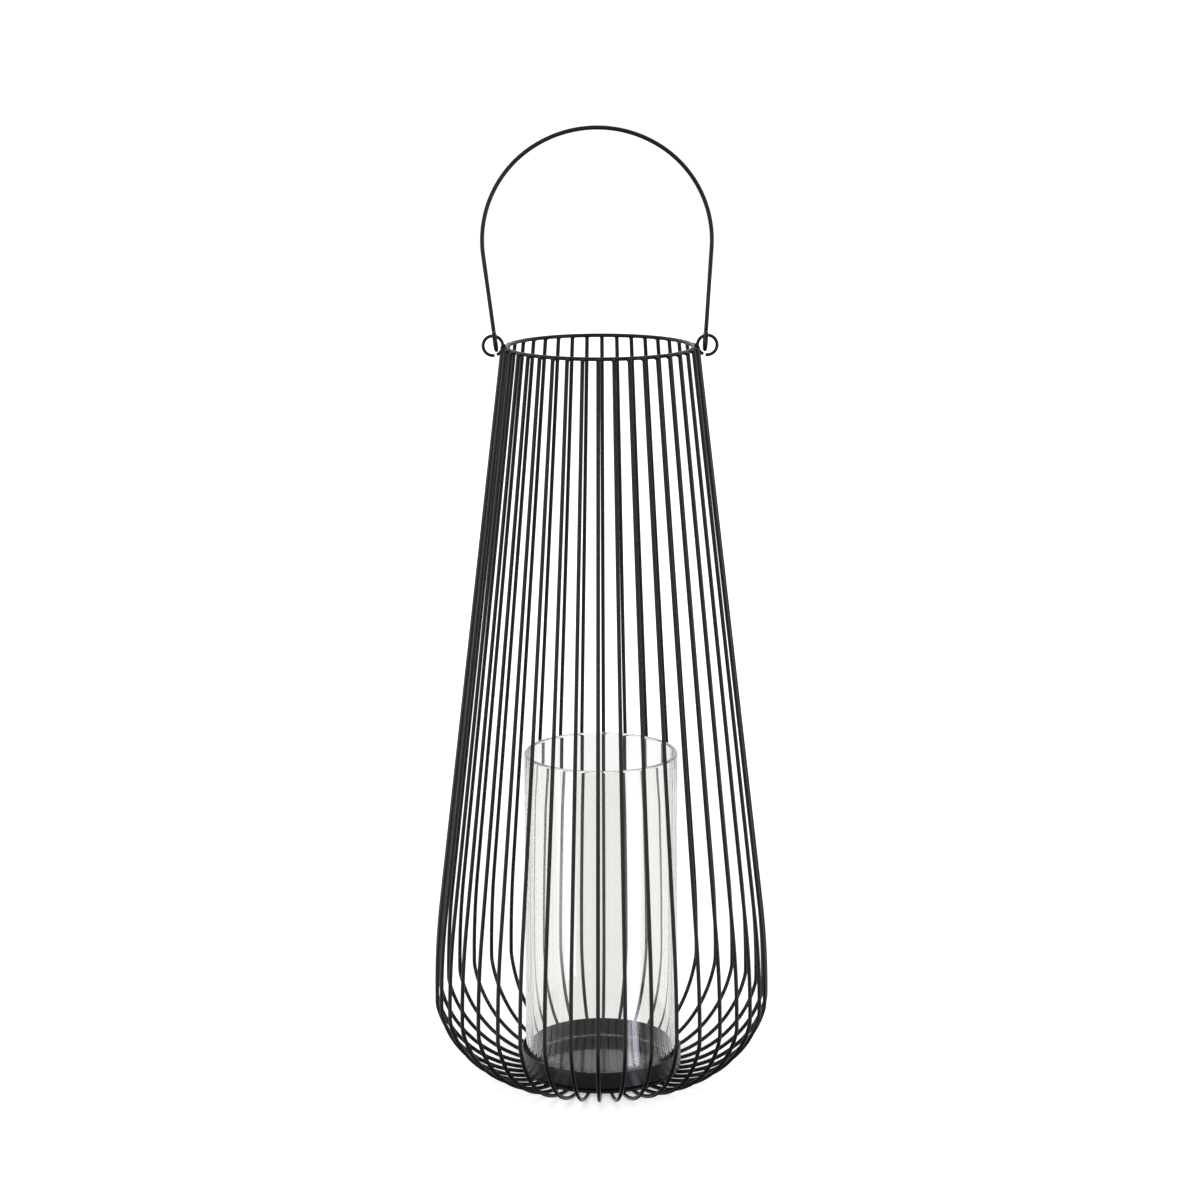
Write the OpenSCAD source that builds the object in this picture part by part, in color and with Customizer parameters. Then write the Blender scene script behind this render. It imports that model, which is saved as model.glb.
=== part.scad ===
/* [Wire] */
// Diameter of the wire of each rib
rib_wire_d = 3; // [2.4:0.1:3.4]
// Diameter of the wire of the top and base hoops
hoop_wire_d = 3; // [2.4:0.1:4]
// Diameter of the wire of the two ears
ear_wire_d = 2.5; // [2:0.1:3]
// Diameter of the wire of the bail handle
bail_wire_d = 3.2; // [2.6:0.1:3.6]
// Space left between two wires that are welded to each other
weld_gap = 0.05; // [0.02:0.01:0.1]

/* [Cage] */
// Number of ribs round the cage, always even so that the two ears meet ribs alike
rib_count = 40; // [28:2:44]
// Height of the cage, from the surface it stands on to the top of the top hoop
cage_h = 581; // [480:1:640]
// Outside diameter of the cage where it is widest
cage_d = 264; // [245:1:290]
// Height of the widest place of the cage
widest_h = 64; // [52:1:68]
// Bend radius of a rib just above the widest place
belly_bend_r = 650; // [400:10:900]
// Bend radius of a rib just below the widest place
shoulder_bend_r = 25; // [15:1:40]
// How far the top of each rib stays below the top of the top hoop
rib_set_down = 1; // [0.4:0.1:1.2]
// How far the rib ends reach inside the middle of the base hoop
foot_reach = 4.5; // [3:0.5:10]

/* [Glass] */
// Outside diameter of the glass cylinder
glass_d = 120; // [105:1:125]
// Height of the glass cylinder
glass_h = 255; // [180:1:320]
// Wall of the glass cylinder
glass_wall = 3.5; // [2.5:0.1:5]
// Space all round between the glass and the top hoop when the glass is lifted out
mouth_gap = 9.5; // [5:0.5:14]

/* [Dish] */
// Height of the candle dish
dish_h = 14.6; // [10:0.2:25]
// Thickness of the sheet metal of the dish
sheet = 1; // [0.8:0.1:1.6]
// Outside radius of the bend between the floor and the wall of the dish
dish_bend_r = 2.2; // [1.8:0.1:4]
// Space all round between the glass and the wall of the dish
glass_play = 2.2; // [1:0.1:4]
// Space between the floor of the dish and the foot of the glass
glass_seat = 0.2; // [0.1:0.1:0.5]
// How far the middle of the base hoop lies inside the outside of the dish
hoop_inset = 2.2; // [1.5:0.1:6]

/* [Ears] */
// Outside diameter of an ear
ear_d = 17.4; // [16:0.1:20]
// Height of the middle of an ear above the middle of the top hoop
ear_rise = 1.2; // [0:0.1:3]
// Opening in the wire of an ear
ear_gap = 1.6; // [1:0.1:2.5]
// Turn of that opening from straight down, towards the cage, in degrees
ear_gap_turn = 16; // [0:1:30]

/* [Bail] */
// Height of the middle of the crown wire above the pivot
bail_rise = 156; // [130:1:180]
// How far the arch of the bail stands out past the pivot on each side
bail_bulge = 6.4; // [2:0.1:12]
// Bend radius of the crown less the bend radius of the shoulders
crown_flat = 5.4; // [1:0.1:10]
// Half of the sweep of the crown bend, in degrees
crown_sweep = 35; // [20:1:50]
// How far the arch is set to the left of the middle
bail_set = 2.2; // [0:0.1:4]
// How far inside the middle of its ear each eye of the bail hangs
eye_inset = 1.2; // [0:0.1:1.6]
// Space between an eye and the top of the ear wire that it hangs on
eye_seat = 0.4; // [0.3:0.05:0.6]
// Space between the foot of an eye and the lower wire of its ear
eye_play = 1.2; // [1:0.1:1.6]

/* [Hidden] */
// Radii of the wires
rib_wire_r = rib_wire_d / 2;
hoop_wire_r = hoop_wire_d / 2;
ear_wire_r = ear_wire_d / 2;
bail_wire_r = bail_wire_d / 2;

// A ball this much wider than the wire, all round, joins two stretches of one wire
joint_swell = 0.02;

// Facets of the wires, of the short bends and of the round forms
wire_fn = 32;
bend_fn = 180;
round_fn = 144;

// Colours of the coated wire, of the dish and of the glass
wire_black = [0.09, 0.09, 0.1];
dish_black = [0.13, 0.13, 0.14];
glass_tint = [0.85, 0.92, 0.92, 0.35];

// Dish and base hoop, which follow the glass
glass_r = glass_d / 2;
dish_in_r = glass_r + glass_play;
dish_r = dish_in_r + sheet;
base_hoop_r = dish_r - hoop_inset;

// Top hoop, and the ribs welded round the outside of it
top_hoop_r = glass_r + mouth_gap + hoop_wire_r;
top_hoop_z = cage_h - hoop_wire_r;
rib_top_r = top_hoop_r + hoop_wire_r + rib_wire_r + weld_gap;

// Middle line of a rib, as distances from the cage's axis and heights.
// Two arcs that are level at the foot and upright at the widest place run into each other
foot_r = base_hoop_r - foot_reach;
widest_r = cage_d / 2 - rib_wire_r;
bowl_run = widest_r - foot_r - shoulder_bend_r;
bowl_climb = widest_h - rib_wire_r - shoulder_bend_r;
bowl_excess = (bowl_run * bowl_run + bowl_climb * bowl_climb) / (2 * bowl_climb);
bowl_bend_r = shoulder_bend_r + bowl_excess;
bowl_z = rib_wire_r + bowl_bend_r;
shoulder_sweep = acos(bowl_run / bowl_excess);
bowl_end_x = foot_r + bowl_bend_r * cos(shoulder_sweep);
bowl_end_z = bowl_z - bowl_bend_r * sin(shoulder_sweep);

// The belly arc goes on up from the widest place to the straight part, which touches it
belly_x = widest_r - belly_bend_r;
top_run = rib_top_r - belly_x;
top_climb = top_hoop_z - widest_h;
top_reach = norm([top_run, top_climb]);
slant = atan2(top_climb, top_run) - acos(belly_bend_r / top_reach);
straight_x = belly_x + belly_bend_r * cos(slant);
straight_z = widest_h + belly_bend_r * sin(slant);
rib_stub = (hoop_wire_r - rib_set_down) / cos(slant) - rib_wire_r * tan(slant);
straight_l = sqrt(top_reach * top_reach - belly_bend_r * belly_bend_r) + rib_stub;

// The base hoop lies on the ribs, and the dish on the base hoop
hoop_bend_r = bowl_bend_r - rib_wire_r - hoop_wire_r - weld_gap;
base_hoop_z = bowl_z - sqrt(hoop_bend_r * hoop_bend_r - foot_reach * foot_reach);
dish_z = base_hoop_z + hoop_wire_r + weld_gap;
glass_z = dish_z + sheet + glass_seat;

// Ears, welded to the top hoop and to the flank of a rib
ear_mid_r = (ear_d - ear_wire_d) / 2;
ear_x = top_hoop_r + hoop_wire_r + weld_gap + ear_d / 2;
ear_z = top_hoop_z + ear_rise;
ear_gap_sweep = 2 * asin(ear_gap / (2 * ear_mid_r));
rib_step = 360 / rib_count;
rib_turn = -asin((rib_wire_r + ear_wire_r + weld_gap) / rib_top_r);

// Pivot of the bail, on the middle line of the top of the ear wire
pivot_x = ear_x - eye_inset;
pivot_drop = sqrt(ear_mid_r * ear_mid_r - eye_inset * eye_inset);
pivot_z = ear_z + pivot_drop;

// Eyes of the bail, which fill the height inside an ear less their play
eye_hole_d = 2 * pivot_drop - bail_wire_d + eye_seat - eye_play;
eye_mid_r = (eye_hole_d + bail_wire_d) / 2;
eye_drop = eye_hole_d / 2 - ear_wire_r - eye_seat;

// Arch of the bail: a crown bend between two shoulder bends
bail_shoulder_r = pivot_x + bail_bulge - crown_flat * sin(crown_sweep);
crown_bend_r = bail_shoulder_r + crown_flat;
crown_z = pivot_z + bail_rise - crown_bend_r;
crown_end_x = crown_bend_r * sin(crown_sweep);
crown_end_z = crown_z + crown_bend_r * cos(crown_sweep);
shoulder_x = crown_flat * sin(crown_sweep);
shoulder_z = crown_z + crown_flat * cos(crown_sweep);

// Names of the ribs, rib_01 and so on
function rib_name(i) = str("rib_", i < 10 ? "0" : "", i);

// Run from the pivot on one side to the middle of the shoulder bend on that side
function arm_run(side) = pivot_x - shoulder_x + side * bail_set;

// Distance between those two points
function arm_reach(side) = norm([arm_run(side), shoulder_z - pivot_z]);

// Outward slant of an arm, which touches its shoulder bend
function arm_slant(side) =
    asin(bail_shoulder_r / arm_reach(side)) - atan2(arm_run(side), shoulder_z - pivot_z);

// Length of an arm from the pivot to its shoulder bend
function arm_length(side) =
    sqrt(arm_reach(side) * arm_reach(side) - bail_shoulder_r * bail_shoulder_r);

// Straight wire that rises from the origin
module wire_rod(wire_d, length) {
    cylinder(d = wire_d, h = length, $fn = wire_fn);
}

// Joint between two stretches of one wire
module wire_joint(wire_d) {
    sphere(d = wire_d + 2 * joint_swell, $fn = wire_fn);
}

// Bent wire in the upright plane through X, round the origin, from one direction to another
module wire_arc(wire_d, bend_r, from_deg, to_deg) {
    rotate([90, 0, 0])
        rotate([0, 0, from_deg])
            rotate_extrude(angle = to_deg - from_deg, $fn = bend_fn)
                translate([bend_r, 0])
                    circle(d = wire_d, $fn = wire_fn);
}

// Level ring of wire round the cage's axis
module wire_hoop(wire_d, hoop_r) {
    rotate_extrude($fn = round_fn)
        translate([hoop_r, 0])
            circle(d = wire_d, $fn = wire_fn);
}

// One rib: a straight part, then the belly, shoulder and bowl bends down to its foot
module rib_wire() {
    color(wire_black)
        union() {
            translate([straight_x, 0, straight_z])
                rotate([0, -slant, 0])
                    wire_rod(rib_wire_d, straight_l);
            translate([straight_x, 0, straight_z])
                wire_joint(rib_wire_d);
            translate([belly_x, 0, widest_h])
                wire_arc(rib_wire_d, belly_bend_r, 0, slant);
            translate([widest_r, 0, widest_h])
                wire_joint(rib_wire_d);
            translate([widest_r - shoulder_bend_r, 0, widest_h])
                wire_arc(rib_wire_d, shoulder_bend_r, -shoulder_sweep, 0);
            translate([bowl_end_x, 0, bowl_end_z])
                wire_joint(rib_wire_d);
            translate([foot_r, 0, bowl_z])
                wire_arc(rib_wire_d, bowl_bend_r, -90, -shoulder_sweep);
        }
}

module rib(i) {
    rotate([0, 0, rib_turn + (i - 1) * rib_step])
        rib_wire();
}

module top_hoop() {
    color(wire_black)
        translate([0, 0, top_hoop_z])
            wire_hoop(hoop_wire_d, top_hoop_r);
}

module base_hoop() {
    color(wire_black)
        translate([0, 0, base_hoop_z])
            wire_hoop(hoop_wire_d, base_hoop_r);
}

// Outline of one half of the dish: floor, bend and upright wall
module dish_outline() {
    square([dish_r - dish_bend_r, sheet]);
    translate([dish_in_r, dish_bend_r])
        square([sheet, dish_h - dish_bend_r]);
    intersection() {
        translate([dish_r - dish_bend_r, dish_bend_r])
            difference() {
                circle(r = dish_bend_r, $fn = bend_fn);
                circle(r = dish_bend_r - sheet, $fn = bend_fn);
            }
        translate([dish_r - dish_bend_r, 0])
            square(dish_bend_r);
    }
}

module candle_dish() {
    color(dish_black)
        translate([0, 0, dish_z])
            rotate_extrude($fn = round_fn)
                dish_outline();
}

// Open tube of glass with a rounded upper rim
module glass_cylinder() {
    color(glass_tint)
        translate([0, 0, glass_z])
            rotate_extrude($fn = round_fn)
                union() {
                    translate([glass_r - glass_wall, 0])
                        square([glass_wall, glass_h - glass_wall / 2]);
                    translate([glass_r - glass_wall / 2, glass_h - glass_wall / 2])
                        circle(d = glass_wall, $fn = wire_fn);
                }
}

// One split ear, on the right where side is 1 and on the left where it is -1
module ear(side) {
    gap_middle = -90 - side * ear_gap_turn;
    color(wire_black)
        translate([side * ear_x, 0, ear_z])
            wire_arc(
                ear_wire_d,
                ear_mid_r,
                gap_middle + ear_gap_sweep / 2,
                gap_middle + 360 - ear_gap_sweep / 2
            );
}

// One arm of the bail with its eye, on the side that is 1 or -1
module bail_arm(side) {
    translate([side * pivot_x, 0, pivot_z])
        rotate([0, side * arm_slant(side), 0]) {
            translate([0, 0, eye_mid_r - eye_drop])
                wire_rod(bail_wire_d, arm_length(side) + eye_drop - eye_mid_r);
            translate([0, 0, eye_mid_r - eye_drop])
                wire_joint(bail_wire_d);
            translate([0, 0, arm_length(side)])
                wire_joint(bail_wire_d);
            translate([0, 0, -eye_drop])
                rotate([0, 0, 90])
                    wire_arc(bail_wire_d, eye_mid_r, 0, 360);
        }
}

// The bail, bent from one wire: crown, two shoulders, two arms and two eyes
module bail_handle() {
    color(wire_black)
        union() {
            translate([-bail_set, 0, crown_z])
                wire_arc(bail_wire_d, crown_bend_r, 90 - crown_sweep, 90 + crown_sweep);
            translate([shoulder_x - bail_set, 0, shoulder_z])
                wire_arc(bail_wire_d, bail_shoulder_r, -arm_slant(1), 90 - crown_sweep);
            translate([-shoulder_x - bail_set, 0, shoulder_z])
                wire_arc(bail_wire_d, bail_shoulder_r, 90 + crown_sweep, 180 + arm_slant(-1));
            for (side = [-1, 1])
                translate([side * crown_end_x - bail_set, 0, crown_end_z])
                    wire_joint(bail_wire_d);
            bail_arm(1);
            bail_arm(-1);
        }
}

for (i = [1:rib_count]) rib(i);
top_hoop();
base_hoop();
candle_dish();
glass_cylinder();
ear(-1);  // ear_left
ear(1);  // ear_right
bail_handle();
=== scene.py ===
"""Looks of a hurricane candle lantern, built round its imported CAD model, in metres with Z up."""

import math

import bpy
import numpy as np
from bpy.props import FloatProperty, FloatVectorProperty, IntProperty, PointerProperty
from mathutils import Matrix, Vector


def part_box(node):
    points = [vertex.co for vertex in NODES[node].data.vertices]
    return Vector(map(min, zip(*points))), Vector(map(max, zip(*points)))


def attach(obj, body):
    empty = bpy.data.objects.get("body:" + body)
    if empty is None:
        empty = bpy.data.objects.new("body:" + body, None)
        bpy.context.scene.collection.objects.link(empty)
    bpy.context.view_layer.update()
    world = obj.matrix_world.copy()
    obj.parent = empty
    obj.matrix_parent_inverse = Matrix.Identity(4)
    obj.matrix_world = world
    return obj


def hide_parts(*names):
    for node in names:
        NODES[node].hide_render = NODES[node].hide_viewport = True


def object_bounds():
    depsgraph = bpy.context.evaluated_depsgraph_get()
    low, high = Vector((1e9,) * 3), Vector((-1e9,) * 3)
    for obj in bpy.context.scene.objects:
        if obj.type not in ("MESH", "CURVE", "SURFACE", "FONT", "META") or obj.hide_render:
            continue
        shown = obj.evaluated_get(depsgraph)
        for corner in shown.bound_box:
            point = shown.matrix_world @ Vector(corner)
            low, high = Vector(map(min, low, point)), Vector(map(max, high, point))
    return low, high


bl_info = {
    "name": "Hurricane Lantern Looks",
    "version": (1, 0, 0),
    "blender": (4, 5, 0),
    "location": "3D View > Sidebar > Lantern",
    "description": "Builds the wire cage, dish, glass and bail of a candle lantern",
    "category": "Object",
}

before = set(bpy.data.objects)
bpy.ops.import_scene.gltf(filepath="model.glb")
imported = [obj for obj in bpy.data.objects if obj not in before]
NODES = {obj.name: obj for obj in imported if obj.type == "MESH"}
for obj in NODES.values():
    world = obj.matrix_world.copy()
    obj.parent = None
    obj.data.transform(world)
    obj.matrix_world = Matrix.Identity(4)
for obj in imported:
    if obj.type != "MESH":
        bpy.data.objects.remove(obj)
CAD_LOW, CAD_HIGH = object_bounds()

RIB_NAMES = sorted(name for name in NODES if name.startswith("rib_"))
CAGE, GLASS, BAIL = "cage", "glass", "bail"

# Points or heights closer than this, in metres, count as one
SAME_PLACE = 1e-7
SAME_HEIGHT = 1e-5

# Room kept at the ends of a wire for their rounding, in roundings
END_ROOM = 1.2

# How far the flat of the dish goes towards its bend, so that no point is there twice
FLAT_SHARE = 0.999

# Rings, points or faces of the small bends and straights of the pieces
END_RINGS = 5
SHOULDER_STEPS = 12
ROD_STEPS = 24
ARM_STEPS = 30
NECK_STEPS = 12
EYE_STEPS = 64
DISH_BEND_STEPS = 14
DISH_RIM_STEPS = 12
FLOOR_STEPS = 12
WALL_STEPS = 5
GLASS_RIM_STEPS = 24
GLASS_WALL_STEPS = 9
BEAD_ROWS, BEAD_COLUMNS = 7, 12

# Reflections that a ray has behind it, set between none and one, and between one and two
ANY_REFLECTION = 0.5
MANY_REFLECTIONS = 1.5

# Sockets of a mix node that carry the share, its two ends and the result
MIX_SOCKETS = {"FLOAT": (0, 2, 3, 0), "RGBA": (0, 6, 7, 2)}

WHITE = (1, 1, 1, 1)
GLASS_IOR = 1.47
GLASS_SHADE = (0.96, 0.96, 0.95, 1)

# Depth of the pebbles in a coat, in metres, and how many patches of gloss it has to a metre
PEBBLE_DEPTH = 0.0001
PATCH_SCALE = 25


# ---------------------------------------------------------------- sizes read from the frame


def node_points(name):
    """All corners of a CAD node's mesh, as an array of rows x, y, z."""
    mesh = NODES[name].data
    points = np.empty(len(mesh.vertices) * 3, np.float32)
    mesh.vertices.foreach_get("co", points)
    return points.reshape(-1, 3).astype(float)


def ring_sizes(name):
    """Radius of a ring's wire, radius of its middle line, and height of its middle line."""
    low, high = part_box(name)
    wire_r = (high.z - low.z) / 2
    return wire_r, high.x - wire_r, (high.z + low.z) / 2


def rib_turn(name):
    """Direction of a rib round the axis, and its points turned back into the plane through X."""
    points = node_points(name)
    turn = math.atan2(points[:, 1].mean(), points[:, 0].mean())
    c, s = math.cos(turn), math.sin(turn)
    flat = np.stack(
        [points[:, 0] * c + points[:, 1] * s, points[:, 1] * c - points[:, 0] * s, points[:, 2]],
        axis=1,
    )
    return turn, flat


HOOP_WIRE_R, TOP_HOOP_R, TOP_HOOP_Z = ring_sizes("top_hoop")
BASE_WIRE_R, BASE_HOOP_R, BASE_HOOP_Z = ring_sizes("base_hoop")
FIRST_RIB = rib_turn(RIB_NAMES[0])[1]
RIB_WIRE_R = float(np.ptp(FIRST_RIB[:, 1])) / 2
WIDEST_R = float(FIRST_RIB[:, 0].max()) - RIB_WIRE_R
FOOT_R = float(FIRST_RIB[:, 0].min())
RIB_TOP_Z = float(FIRST_RIB[:, 2].max())

DISH_LOW, DISH_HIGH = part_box("candle_dish")
DISH_SPREAD = np.hypot(*node_points("candle_dish")[:, :2].T)
DISH_R = float(DISH_SPREAD.max())
DISH_RIM = node_points("candle_dish")[:, 2] > DISH_HIGH.z - SAME_HEIGHT
DISH_IN_R = float(DISH_SPREAD[DISH_RIM].min())
SHEET = DISH_R - DISH_IN_R

GLASS_LOW, GLASS_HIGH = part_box("glass_cylinder")
GLASS_SPREAD = np.hypot(*node_points("glass_cylinder")[:, :2].T)
GLASS_R = float(GLASS_SPREAD.max())
GLASS_WALL = GLASS_R - float(GLASS_SPREAD.min())

EAR_LOW, EAR_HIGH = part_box("ear_right")
EAR_WIRE_R = (EAR_HIGH.y - EAR_LOW.y) / 2
EAR_R = (EAR_HIGH.x - EAR_LOW.x) / 2
EAR_X = (EAR_HIGH.x + EAR_LOW.x) / 2
EAR_Z = EAR_HIGH.z - EAR_R

BAIL_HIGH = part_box("bail_handle")[1]


# ---------------------------------------------------------------- settings


class LanternSizes(bpy.types.PropertyGroup):
    """Sizes that the CAD boxes don't give by themselves."""

    widest_h: FloatProperty(
        name="Widest height",
        description="Height of the widest place of the cage",
        default=0.064,
        unit="LENGTH",
    )
    belly_bend: FloatProperty(
        name="Belly bend",
        description="Bend radius of a rib just above the widest place",
        default=0.65,
        unit="LENGTH",
    )
    shoulder_bend: FloatProperty(
        name="Shoulder bend",
        description="Bend radius of a rib just below the widest place",
        default=0.025,
        unit="LENGTH",
    )
    weld_gap: FloatProperty(
        name="Weld gap",
        description="Space between two welded wires",
        default=0.00005,
        unit="LENGTH",
    )
    weld_reach: FloatProperty(
        name="Weld reach",
        description="Half length of a weld bead along the hoop",
        default=0.0021,
        unit="LENGTH",
    )
    weld_rise: FloatProperty(
        name="Weld rise",
        description="Half length of a weld bead along the rib",
        default=0.0013,
        unit="LENGTH",
    )
    weld_depth: FloatProperty(
        name="Weld depth",
        description="Half thickness of a weld bead, across the wires that it joins",
        default=0.0012,
        unit="LENGTH",
    )
    weld_drop: FloatProperty(
        name="Weld drop",
        description="How far a bead lies below the middle of the top hoop",
        default=0.0009,
        unit="LENGTH",
    )
    end_round: FloatProperty(
        name="End round",
        description="Rounding of a sheared and coated wire end",
        default=0.0005,
        unit="LENGTH",
    )
    dish_bend: FloatProperty(
        name="Dish bend",
        description="Outside radius of the bend between floor and wall of the dish",
        default=0.0022,
        unit="LENGTH",
    )
    ear_gap: FloatProperty(
        name="Ear gap",
        description="Opening in the wire of an ear",
        default=0.0016,
        unit="LENGTH",
    )
    ear_gap_turn: FloatProperty(
        name="Ear gap turn",
        description="Turn of that opening from straight down, towards the cage",
        default=math.radians(16),
        unit="ROTATION",
    )
    bail_bulge: FloatProperty(
        name="Bail bulge",
        description="How far the arch of the bail stands out past the pivot",
        default=0.0064,
        unit="LENGTH",
    )
    crown_flat: FloatProperty(
        name="Crown flat",
        description="Bend radius of the crown less that of the shoulders",
        default=0.0054,
        unit="LENGTH",
    )
    crown_sweep: FloatProperty(
        name="Crown sweep",
        description="Half of the sweep of the crown bend",
        default=math.radians(35),
        unit="ROTATION",
    )
    bail_set: FloatProperty(
        name="Bail set",
        description="How far the arch is set to the left of the middle",
        default=0.0022,
        unit="LENGTH",
    )
    bail_wire: FloatProperty(
        name="Bail wire",
        description="Diameter of the wire of the bail",
        default=0.0032,
        unit="LENGTH",
    )
    eye_inset: FloatProperty(
        name="Eye inset",
        description="How far inside the middle of its ear each eye hangs",
        default=0.0012,
        unit="LENGTH",
    )
    eye_seat: FloatProperty(
        name="Eye seat",
        description="Space between an eye and the top of the ear wire that it hangs on",
        default=0.0004,
        unit="LENGTH",
    )
    eye_play: FloatProperty(
        name="Eye play",
        description="Space between the foot of an eye and the lower wire of its ear",
        default=0.0012,
        unit="LENGTH",
    )
    neck_bend: FloatProperty(
        name="Neck bend",
        description="Bend radius where an arm of the bail turns into its eye",
        default=0.004,
        unit="LENGTH",
    )
    eye_open: FloatProperty(
        name="Eye opening",
        description="How far short of the top the wire of an eye ends",
        default=math.radians(19),
        unit="ROTATION",
    )


class LanternFinish(bpy.types.PropertyGroup):
    """Colours and gloss of the lantern and of its stage."""

    wire_colour: FloatVectorProperty(
        name="Wire colour",
        description="Powder coat of the wires",
        default=(0.006, 0.006, 0.0062, 1),
        size=4,
        subtype="COLOR",
    )
    wire_roughness: FloatProperty(
        name="Wire roughness",
        description="Roughness of the powder coat on the wires",
        default=0.34,
        subtype="FACTOR",
    )
    dish_colour: FloatVectorProperty(
        name="Dish colour",
        description="Coat of the candle dish",
        default=(0.0078, 0.0078, 0.0095, 1),
        size=4,
        subtype="COLOR",
    )
    dish_roughness: FloatProperty(
        name="Dish roughness",
        description="Roughness of the coat on the dish",
        default=0.29,
        subtype="FACTOR",
    )
    floor_polish: FloatProperty(
        name="Floor polish",
        description="How much smoother than its walls the floor of the dish is rubbed",
        default=0.17,
        subtype="FACTOR",
    )
    glass_tint: FloatVectorProperty(
        name="Glass tint",
        description="What one wall of the glass lets through",
        default=(1, 0.994, 0.976, 1),
        size=4,
        subtype="COLOR",
    )
    floor_colour: FloatVectorProperty(
        name="Floor colour",
        description="Colour of the floor",
        default=(0.8, 0.8, 0.8, 1),
        size=4,
        subtype="COLOR",
    )
    spent_level: FloatProperty(
        name="Spent level",
        description="How bright the room is for rays that met glass from inside more than once",
        default=0.3,
        subtype="FACTOR",
    )
    floor_glow: FloatProperty(
        name="Floor glow",
        description="How much the floor is lifted towards white close to the lantern",
        default=0.5,
    )
    world_level: FloatProperty(
        name="World level",
        description="Strength of the light from all round",
        default=0.55,
    )
    white_level: FloatProperty(
        name="White level",
        description="Light of the white world where it is seen",
        default=1.06,
        min=0,
    )
    room_level: FloatProperty(
        name="Room level",
        description="How bright the room in front of the lantern is in its gloss",
        default=0.2,
    )
    left_strip: FloatProperty(
        name="Left strip",
        description="How bright the soft strip on the left is in its gloss",
        default=1.7,
    )
    right_strip: FloatProperty(
        name="Right strip",
        description="How bright the soft strip on the right is in its gloss",
        default=2.4,
    )
    right_colour: FloatVectorProperty(
        name="Right strip colour",
        description="Colour of the soft strip on the right",
        default=(0.86, 0.84, 1, 1),
        size=4,
        subtype="COLOR",
    )
    clear_boost: FloatProperty(
        name="Clear boost",
        description="How much brighter still that strip is in clear glass",
        default=0.3,
    )
    front_panel: FloatProperty(
        name="Front panel",
        description="How bright the raised panel beside the camera is in its gloss",
        default=2.8,
    )


class LanternDetail(bpy.types.PropertyGroup):
    """How finely the surfaces are divided."""

    wire_sides: IntProperty(
        name="Wire sides",
        description="Faces round a wire",
        default=20,
    )
    bend_steps: IntProperty(
        name="Bend steps",
        description="Faces along one bend of a wire",
        default=40,
    )
    round_steps: IntProperty(
        name="Round steps",
        description="Faces round the hoops, the dish and the glass",
        default=240,
    )


def sizes():
    """The sizes that the scene holds now."""
    return bpy.context.scene.lantern_sizes


def finish():
    """The colours and gloss that the scene holds now."""
    return bpy.context.scene.lantern_finish


def detail():
    """How finely surfaces are divided now."""
    return bpy.context.scene.lantern_detail


# ---------------------------------------------------------------- surfaces


def make_mesh(name, verts, quads, tris):
    """A smooth mesh object at the origin, from arrays of corners, quads and triangles."""
    mesh = bpy.data.meshes.new(name)
    mesh.vertices.add(len(verts))
    mesh.vertices.foreach_set("co", verts.astype(np.float32).ravel())
    corners = np.concatenate([quads.ravel(), tris.ravel()]).astype(np.int32)
    sides = np.concatenate([np.full(len(quads), 4), np.full(len(tris), 3)])
    starts = np.concatenate([[0], np.cumsum(sides)[:-1]]).astype(np.int32)
    mesh.loops.add(len(corners))
    mesh.loops.foreach_set("vertex_index", corners)
    mesh.polygons.add(len(sides))
    mesh.polygons.foreach_set("loop_start", starts)
    mesh.update(calc_edges=True)
    if mesh.validate():
        raise RuntimeError(f"{name}: its surface has faulty faces")
    mesh.shade_smooth()
    obj = bpy.data.objects.new(name, mesh)
    bpy.context.scene.collection.objects.link(obj)
    return obj


def grid_faces(rows, columns, wrap_rows):
    """Quads of a grid whose columns close into a ring. Its rows close too if wrap_rows."""
    i = np.arange(rows if wrap_rows else rows - 1)[:, None]
    j = np.arange(columns)[None, :]
    down, along = (i + 1) % rows, (j + 1) % columns
    corners = [i * columns + j, i * columns + along, down * columns + along, down * columns + j]
    return np.stack(np.broadcast_arrays(*corners), axis=-1).reshape(-1, 4)


def ring_surface(name, grid, closed, first=None, last=None):
    """A surface from a grid of rings.

    Either its rows close into a loop, or fans to the points first and last fill its end rings.
    """
    rows, columns = grid.shape[:2]
    verts = grid.reshape(-1, 3)
    quads = grid_faces(rows, columns, closed)
    tris = np.empty((0, 3), int)
    if not closed:
        j = np.arange(columns)
        along = (j + 1) % columns
        tip = np.full(columns, len(verts))
        end = (rows - 1) * columns
        tris = np.concatenate(
            [np.stack([along, j, tip], axis=1), np.stack([end + j, end + along, tip + 1], axis=1)]
        )
        verts = np.concatenate([verts, [first, last]])
    return make_mesh(name, verts, quads, tris)


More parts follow.
